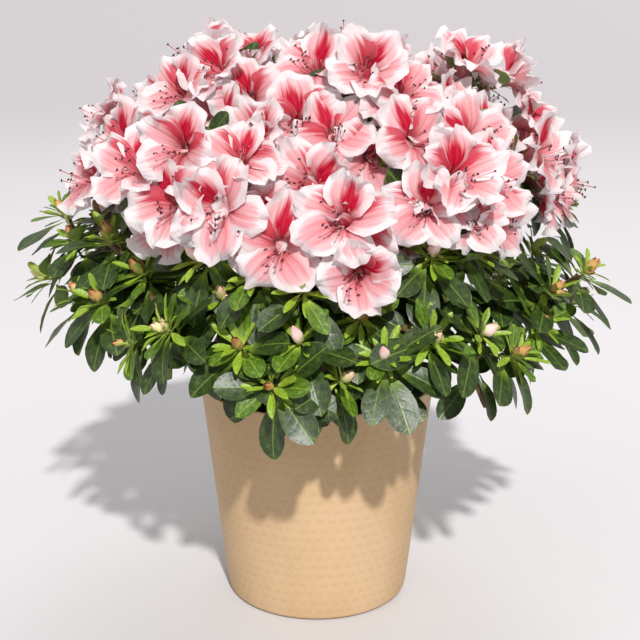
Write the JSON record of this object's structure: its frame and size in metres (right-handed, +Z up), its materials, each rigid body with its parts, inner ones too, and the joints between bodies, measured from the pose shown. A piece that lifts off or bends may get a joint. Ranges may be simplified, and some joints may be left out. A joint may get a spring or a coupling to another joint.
{
  "type": "potted azalea shrub",
  "caption": "Bushy evergreen azalea in full bloom, pink and white blossom over a skirt of leaves, growing in a nursery pot inside a tapered cover pot.",
  "frame": {"origin": "centre of the cover pot's flat underside", "axes": "+Z up along the pot's axis, -Y towards the plant's fuller front, +X to the right seen from the front"},
  "size_m": [0.3374, 0.2815, 0.3396],
  "materials": {
    "cover_card": "matte tan card with a fine embossed weave",
    "black_plastic": "thin matte black moulded plastic",
    "peat": "rough dark moist peat",
    "bark": "fine grey-brown bark",
    "blossom": "thin soft petals, white at the edge and rose red in the throat",
    "leaves": "glossy dark green leaves with paler undersides"
  },
  "bodies": {
    "root": {"cover_pot": "cover_card", "nursery_pot": "black_plastic", "root_ball": "peat", "main_stem": "bark", "bough_front": "bark", "bough_left": "bark", "bough_back_left": "bark", "bough_back": "bark", "bough_right": "bark", "side_bough_bloom_front_left": "bark", "side_bough_bloom_front_right": "bark", "side_bough_bloom_back_right": "bark", "side_bough_bloom_top_left": "bark", "side_bough_bloom_top_right": "bark", "side_bough_bloom_top": "bark", "side_bough_bloom_top_back": "bark", "side_bough_leaf_front": "bark", "side_bough_leaf_front_left": "bark", "side_bough_leaf_left": "bark", "side_bough_leaf_left_tip": "bark", "side_bough_leaf_back_left": "bark", "side_bough_leaf_back": "bark", "side_bough_leaf_back_middle": "bark", "side_bough_leaf_back_right": "bark", "side_bough_leaf_right": "bark", "side_bough_leaf_front_right": "bark", "side_bough_leaf_front_middle": "bark", "bloom_front": "blossom", "bloom_front_left": "blossom", "bloom_front_right": "blossom", "bloom_left": "blossom", "bloom_right": "blossom", "bloom_back_left": "blossom", "bloom_back": "blossom", "bloom_back_right": "blossom", "bloom_top_left": "blossom", "bloom_top_right": "blossom", "bloom_top": "blossom", "bloom_top_back": "blossom", "leaf_front": "leaves", "leaf_front_left": "leaves", "leaf_left": "leaves", "leaf_left_tip": "leaves", "leaf_back_left": "leaves", "leaf_back": "leaves", "leaf_back_middle": "leaves", "leaf_back_right": "leaves", "leaf_right": "leaves", "leaf_front_right": "leaves", "leaf_front_middle": "leaves"}
  },
  "joints": []
}
